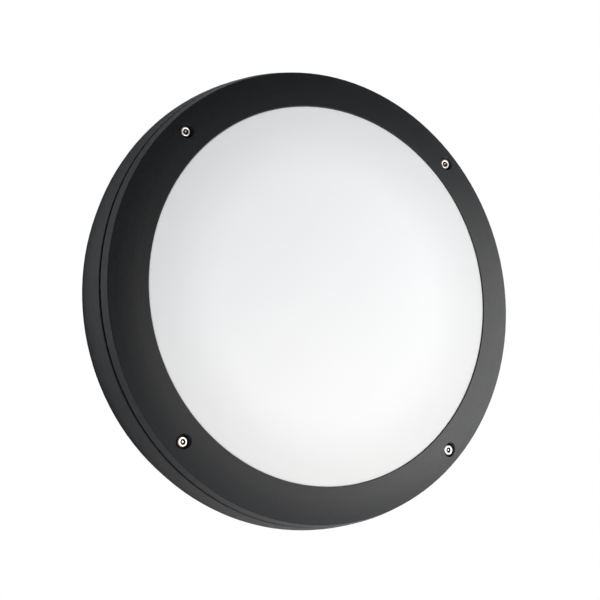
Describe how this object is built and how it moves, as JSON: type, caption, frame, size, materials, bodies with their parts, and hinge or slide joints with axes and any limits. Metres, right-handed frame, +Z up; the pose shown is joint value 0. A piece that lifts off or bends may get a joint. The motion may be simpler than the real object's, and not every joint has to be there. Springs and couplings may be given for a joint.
{
  "type": "bulkhead light",
  "caption": "Round black die-cast wall light with a sloping bezel ring, sunk socket screws, a shadow gap and an opal diffuser over an LED gear tray.",
  "frame": {"origin": "centre of the wall fixings, in the plane of the wall", "axes": "+Z up, +X to the right seen from the front, +Y into the wall; the light faces -Y"},
  "size_m": [0.3, 0.055, 0.3],
  "materials": {
    "powder_coat": "satin",
    "opal": "satin",
    "stainless": "satin",
    "black_rubber": "matte",
    "white_steel": "satin",
    "board_white": "satin",
    "phosphor": "satin",
    "white_plastic": "matte",
    "brass": "satin",
    "brown_pvc": "satin",
    "blue_pvc": "satin",
    "green_yellow_pvc": "satin",
    "red_pvc": "satin",
    "black_pvc": "satin"
  },
  "bodies": {
    "root": {"base_casting": "powder_coat", "base_gasket": "black_rubber", "bezel_ring": "powder_coat", "bezel_screws": "stainless", "bezel_screw_seals": "black_rubber", "diffuser": "opal", "diffuser_gasket": "black_rubber", "diffuser_clips": "stainless", "diffuser_clip_screws": "stainless", "gear_tray": "white_steel", "gear_tray_screws": "stainless", "led_board": "board_white", "led_chips": "phosphor", "led_board_screws": "stainless", "board_connector": "white_plastic", "driver_case": "white_plastic", "driver_lid": "white_plastic", "driver_screws": "stainless", "terminal_block": "white_plastic", "terminal_screws": "brass", "terminal_block_screws": "stainless", "earth_screw": "brass", "earth_washer": "stainless", "earth_tag": "brass", "cable_grommet": "black_rubber", "tray_grommet": "black_rubber", "live_lead": "brown_pvc", "neutral_lead": "blue_pvc", "earth_lead": "green_yellow_pvc", "positive_lead": "red_pvc", "negative_lead": "black_pvc"}
  },
  "joints": []
}
